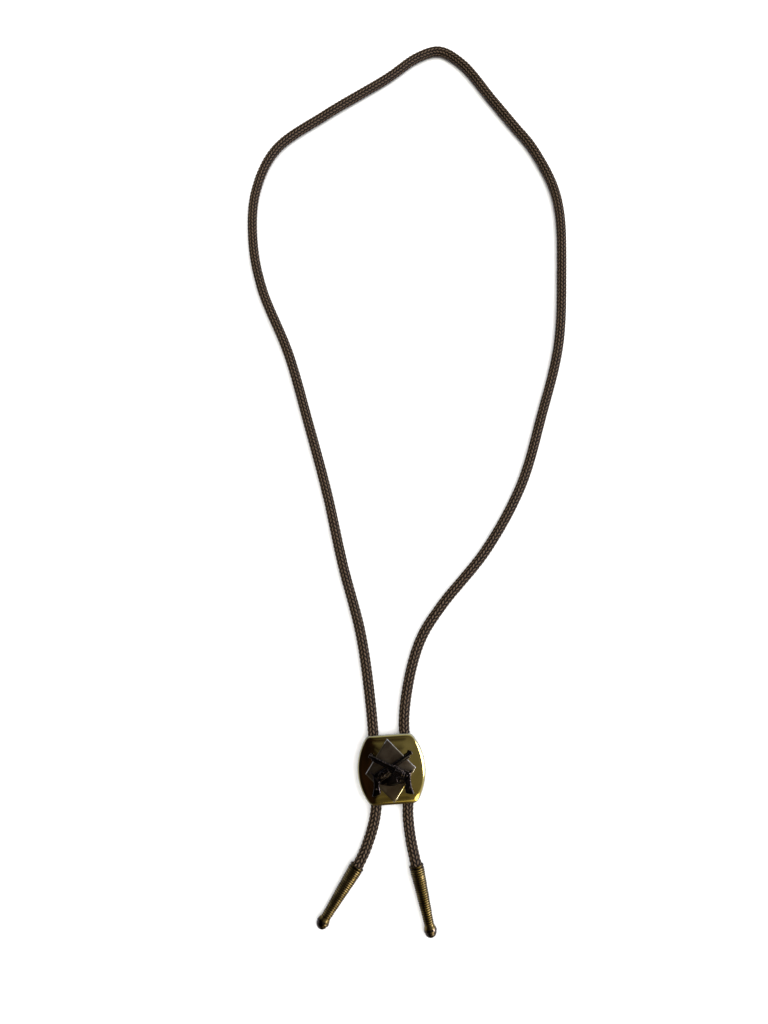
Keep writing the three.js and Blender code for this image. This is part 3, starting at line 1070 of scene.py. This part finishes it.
def rod(bm, radius, start, length, v, height):
    profile = [
        (0.0, 0.0),
        (radius, 0.0),
        (radius, length - ROD_NOSE),
        (radius - ROD_NOSE, length),
        (0.0, length),
    ]
    turned(bm, profile, 24, along_u(start, v, height))


def barrel(bm, height):
    """The barrel with its thicker root, the ring at its muzzle and the bore."""
    length = GUN_LENGTH - BARREL_START
    r = BARREL_RADIUS
    profile = [
        (0.0, 0.0),
        (r + 0.1, 0.0),
        (r + 0.1, 0.9),
        (r, 1.1),
        (r, length - 0.9),
        (r + 0.06, length - 0.75),
        (r + 0.06, length - 0.12),
        (r - 0.08, length),
        (0.45 * r, length),
        (0.45 * r, length - 1.2),
        (0.0, length - 1.2),
    ]
    turned(bm, profile, 28, along_u(BARREL_START, 0.0, height))


def drum(bm, height):
    """The drum, whose flutes run in from the front and fade out towards the back."""

    def ring(distance, fluted, shrink):
        def place(side):
            angle = 2 * math.pi * side / DRUM_SIDES
            dip = max(0.0, math.cos(FLUTES * angle) - 0.35) / 0.65
            radius = DRUM_RADIUS - shrink - fluted * FLUTE_DEPTH * dip
            y = -DRUM_DROP + radius * math.cos(angle)
            z = height + radius * math.sin(angle)
            return DRUM_START + distance, y, z

        return place

    steps = [
        (0.0, 0.0, DRUM_RADIUS),
        (0.0, 0.0, 0.12),
        (0.12, 0.0, 0.0),
        (1.1, 0.0, 0.0),
        (1.5, 0.8, 0.0),
        (1.9, 1.0, 0.0),
        (DRUM_LENGTH - 0.15, 1.0, 0.0),
        (DRUM_LENGTH, 1.0, 0.15),
        (DRUM_LENGTH, 0.0, DRUM_RADIUS),
    ]
    ring_skin(bm, DRUM_SIDES, [ring(*step) for step in steps])


# %% Guard and trigger
BENT_ROD_SIDES = 12


def bent_rod(bm, path, radius, height):
    """A round rod along a path of u and v points, with closed ends."""
    line = smooth_route([(u, v, height) for u, v in frame_points(path)], 5)
    points = [Vector(point) for point in line]
    rings = []
    for number, point in enumerate(points):
        before = points[max(number - 1, 0)]
        after = points[min(number + 1, len(points) - 1)]
        forward = (after - before).normalized()
        side_way = Vector((-forward.y, forward.x, 0.0))
        scales = [1.0]
        if number == 0:
            scales = [0.0, 1.0]
        if number == len(points) - 1:
            scales = [1.0, 0.0]
        for scale in scales:
            rings.append((point, side_way * radius * scale, radius * scale))

    def place(point, side_way, lift):
        def corner(side):
            angle = 2 * math.pi * side / BENT_ROD_SIDES
            return point + side_way * math.cos(angle) + Vector((0.0, 0.0, lift * math.sin(angle)))

        return corner

    ring_skin(bm, BENT_ROD_SIDES, [place(*ring) for ring in rings])


# %% Put a revolver together


def revolver(bm, hand, lift):
    """Add one revolver: hand 1 points right and -1 left, and lift raises it over the other."""
    part = bmesh.new()
    height = BARREL_RADIUS + lift
    top = FRAME_THICKNESS + lift
    slab(part, frame_points(FRAME_OUTLINE), BELOW_SEAT, top, 0.22)
    slab(part, frame_points(GRIP_OUTLINE), BELOW_SEAT, top + 0.2, 0.5)
    slab(part, frame_points(HAMMER_OUTLINE), 0.25, top - 0.2, 0.1)
    slab(part, SIGHT_OUTLINE, height - 0.25, height + 0.25, 0.1)
    barrel(part, height)
    rod(part, EJECTOR_RADIUS, BARREL_START, EJECTOR_LENGTH, -EJECTOR_DROP, height)
    rod(part, SHIELD_RADIUS, SHIELD_START, SHIELD_LENGTH, -DRUM_DROP, height - 0.1)
    drum(part, height)
    bent_rod(part, GUARD_PATH, GUARD_RADIUS, 0.5 + lift)
    bent_rod(part, TRIGGER_PATH, TRIGGER_RADIUS, 0.5 + lift)
    for u, v in SCREW_PLACES:
        on_grip = 0.3 if u < 0 else 0.0
        turned(part, SCREW_PROFILE, 16, Matrix.Translation((u, v, top - 0.1 + on_grip)))
    along = Vector((hand * math.cos(GUN_TILT), math.sin(GUN_TILT), 0.0))
    up = Vector((-hand * math.sin(GUN_TILT), math.cos(GUN_TILT), 0.0))
    place = Matrix.Identity(4)
    place.col[0][:3] = along
    place.col[1][:3] = up
    place.col[3][:3] = (-hand * GUN_REAR[0], GUN_REAR[1], 0.0)
    bmesh.ops.transform(part, matrix=place, verts=part.verts)
    bmesh.ops.recalc_face_normals(part, faces=part.faces)
    mesh = bpy.data.meshes.new("revolver")
    part.to_mesh(mesh)
    part.free()
    bm.from_mesh(mesh)
    bpy.data.meshes.remove(mesh)


# %% Cast and bend the revolvers
VOXEL = 0.0865
WEB_MIDDLE = (-0.5, -3.5, 0.0)
WEB_RADII = (4.9, 2.9, 1.0)
CASTING_SEAT = 2 * SEAT_GAP + DIAMOND_THICKNESS


def melted(mesh):
    """One skin round all the shapes of a mesh, with its corners softened."""
    holder = bpy.data.objects.new("melt", mesh)
    bpy.context.scene.collection.objects.link(holder)
    remesh = holder.modifiers.new("melt", "REMESH")
    remesh.mode = "VOXEL"
    remesh.voxel_size = VOXEL
    soften = holder.modifiers.new("soften", "SMOOTH")
    soften.factor = 0.5
    soften.iterations = 3
    graph = bpy.context.evaluated_depsgraph_get()
    result = bpy.data.meshes.new_from_object(holder.evaluated_get(graph))
    bpy.data.objects.remove(holder)
    return result


def bend_over_dome(places):
    places[:, 2] = np.maximum(places[:, 2], 0.0)
    places[:, 2] += dome_at(places[:, 0], places[:, 1]) + CASTING_SEAT
    return places


def crossed_revolvers():
    """Both revolvers and the web that joins their trigger guards, as one casting."""
    bm = bmesh.new()
    revolver(bm, 1, 0.0)
    revolver(bm, -1, OVER_LIFT)
    web = Matrix.Translation(WEB_MIDDLE) @ Matrix.Diagonal((*WEB_RADII, 1.0))
    bmesh.ops.create_uvsphere(bm, u_segments=32, v_segments=20, radius=1.0, matrix=web)
    mesh = melted(finish_mesh("crossed_revolvers", bm))
    move_points(mesh, bend_over_dome)
    finish_piece("crossed_revolvers", mesh, [dark_bronze], ["crossed_pistols"], 0)


crossed_revolvers()

# %% [markdown]
# The floor is a plain pale sheet, and a large panel overhead will light it so evenly that the
# shadows stay soft and faint. The floor throws some of that light back at the pieces from below,
# but it stays out of their mirror images, so the sides of the tips keep the dark lines of the real
# ones.

# %% Floor
FLOOR_HALF = 3.0
FLOOR_DROP = 0.0002
PALE = (0.86, 0.86, 0.86)


def add_floor():
    bm = bmesh.new()
    bmesh.ops.create_grid(bm, x_segments=1, y_segments=1, size=FLOOR_HALF)
    mesh = bpy.data.meshes.new("floor")
    bm.to_mesh(mesh)
    bm.free()
    material, _ = start_material("pale_floor", PALE, roughness=0.8, specular=0.0)
    mesh.materials.append(material)
    floor = bpy.data.objects.new("floor", mesh)
    floor.location.z = -FLOOR_DROP
    floor.visible_glossy = False
    bpy.context.scene.collection.objects.link(floor)


add_floor()
bpy.context.scene.view_settings.view_transform = "Standard"

# %% [markdown]
# Polished metal shows the room that it mirrors, so the room is part of the finish. Overhead it is
# nearly black to the left, with some dim clutter, and a soft grey to the right; a brighter band
# runs round the horizon, and its colour and height change with the direction. The camera itself
# sees only a pale backdrop there.

# %% Colours of the room
DARK_SIDE = (0.010, 0.006, 0.006)
DARK_CLUTTER = (0.024, 0.012, 0.011)
BRIGHT_SIDE = (0.225, 0.225, 0.25)
FAR_SIDE = (0.13, 0.12, 0.11)
NEAR_SIDE = (0.18, 0.16, 0.12)

# Around the horizon: direction in degrees from +X towards +Y, the light of the room there, and
# how far from straight up it starts, in degrees.
ROOM = [
    (-180, (0.70, 0.74, 0.90), 80),
    (-150, (0.62, 0.66, 0.82), 82),
    (-120, (0.40, 0.42, 0.50), 82),
    (-108, (0.08, 0.07, 0.07), 70),
    (-88, (0.10, 0.08, 0.05), 62),
    (-64, (0.46, 0.38, 0.26), 50),
    (-30, (0.75, 0.78, 0.95), 62),
    (0, (0.85, 0.92, 1.25), 60),
    (25, (0.70, 0.78, 1.10), 64),
    (50, (0.70, 0.78, 1.05), 54),
    (80, (0.62, 0.70, 0.95), 55),
    (100, (0.46, 0.52, 0.70), 62),
    (130, (0.32, 0.35, 0.46), 71),
    (160, (0.60, 0.64, 0.80), 78),
    (180, (0.70, 0.74, 0.90), 80),
]
ROOM_BLEND = 12

# Where one part overhead gives way to the next, in the X or Y of the direction looked in, and how
# far that edge wanders. The last pair is the share of noise at which clutter starts and is full.
EAST_EDGE = (-0.15, 0.12)
EDGE_WANDER = 0.12
FAR_EDGE = (0.1, 0.7)
NEAR_EDGE = (-0.05, -0.5)
CLUTTER_EDGE = (0.46, 0.62)
print("the room has", len(ROOM) - 1, "stretches of horizon")

# %% Room


def overhead_light(tree, direction, east, north):
    """Dark to the left and soft grey to the right, along a wavering line."""
    wander = add_node(tree, "ShaderNodeTexNoise", None, Scale=5.0, Detail=3.0)
    tree.links.new(direction, wander.inputs["Vector"])
    shift = add_range(tree, wander.outputs["Fac"], -EDGE_WANDER, EDGE_WANDER, 0.3, 0.7)
    brightness = add_range(tree, add_math(tree, "ADD", east, shift), 0.0, 1.0, *EAST_EDGE)
    far = add_range(tree, north, 0.0, 1.0, *FAR_EDGE)
    near = add_range(tree, north, 0.0, 1.0, *NEAR_EDGE)
    bright = add_mix(tree, near, add_mix(tree, far, BRIGHT_SIDE, FAR_SIDE), NEAR_SIDE)
    clutter = add_node(tree, "ShaderNodeTexNoise", None, Scale=3.2, Detail=4.0)
    tree.links.new(direction, clutter.inputs["Vector"])
    share = add_range(tree, clutter.outputs["Fac"], 0.0, 1.0, *CLUTTER_EDGE)
    return add_mix(tree, brightness, add_mix(tree, share, DARK_SIDE, DARK_CLUTTER), bright)


def horizon_light(tree, east, north, up):
    """The colour of the band at the horizon, and how much of it shows in this direction."""
    around = add_math(tree, "ARCTAN2", north, east)
    around = add_range(tree, around, 0.0, 1.0, -math.pi, math.pi)
    color = add_ramp(tree, around, [((angle + 180) / 360, color) for angle, color, _ in ROOM])
    starts = [((angle + 180) / 360, (start / 90,) * 3) for angle, _, start in ROOM]
    start = add_math(tree, "MULTIPLY", add_ramp(tree, around, starts), 90.0)
    from_top = add_math(tree, "MULTIPLY", add_math(tree, "ARCCOSINE", up), 180 / math.pi)
    past = add_math(tree, "SUBTRACT", from_top, start)
    return color, add_range(tree, past, 0.0, 1.0, -ROOM_BLEND / 2, ROOM_BLEND / 2)


def add_room():
    world = bpy.data.worlds.new("studio")
    world.use_nodes = True
    tree = world.node_tree
    direction = add_node(tree, "ShaderNodeTexCoord").outputs["Generated"]
    split = add_node(tree, "ShaderNodeSeparateXYZ")
    tree.links.new(direction, split.inputs["Vector"])
    east, north, up = split.outputs
    overhead = overhead_light(tree, direction, east, north)
    band, share = horizon_light(tree, east, north, up)
    seen = add_node(tree, "ShaderNodeLightPath").outputs["Is Camera Ray"]
    color = add_mix(tree, seen, add_mix(tree, share, overhead, band), PALE)
    tree.links.new(color, tree.nodes["Background"].inputs["Color"])
    bpy.context.scene.world = world


add_room()

# %% [markdown]
# Two kinds of panels light the piece. Square ones brighten the floor and the dull surfaces, and
# stay out of the mirror images. Oval ones only show in the metal, where they draw the highlights:
# a window low on the right makes the crescent along the plate's edge, and two smaller ones make
# the bright corner and the gold lower edge.

# %% Panels


def polar(around, from_top, distance):
    """A place at these two angles in degrees from the slide, and this many metres away."""
    around = math.radians(around)
    from_top = math.radians(from_top)
    flat = distance * math.sin(from_top)
    return flat * math.cos(around), flat * math.sin(around), distance * math.cos(from_top)


def add_panel(name, place, size, brightness, color=(1.0, 1.0, 1.0), mirrored=True):
    """A light panel that faces the slide. A mirrored one is oval and shows in the metal only."""
    light = bpy.data.lights.new(name, "AREA")
    light.shape = "ELLIPSE" if mirrored else "RECTANGLE"
    light.size, light.size_y = size
    light.energy = brightness * math.pi * size[0] * size[1]
    light.color = color
    panel = bpy.data.objects.new(name, light)
    panel.location = place
    panel.rotation_euler = (-Vector(place)).to_track_quat("-Z", "Y").to_euler()
    panel.visible_glossy = mirrored
    panel.visible_diffuse = not mirrored
    bpy.context.scene.collection.objects.link(panel)


add_panel("overhead_panel", (0.3, 0.1, 2.2), (2.6, 2.6), 5.0, (1.0, 0.985, 0.95), mirrored=False)
add_panel("key_panel", (2.2, 0.6, 1.7), (1.0, 1.0), 4.0, mirrored=False)
add_panel("window", polar(2, 67, 1.9), (1.25, 0.9), 9.0, (0.95, 1.0, 1.5))
add_panel("window_patch", polar(-50, 68, 1.7), (0.7, 1.3), 4.0, (1.0, 0.95, 0.7))
add_panel("near_strip", polar(-76, 62, 1.7), (0.8, 0.6), 0.5, (1.0, 0.92, 0.6))
print("lit by", len(bpy.data.lights), "panels")
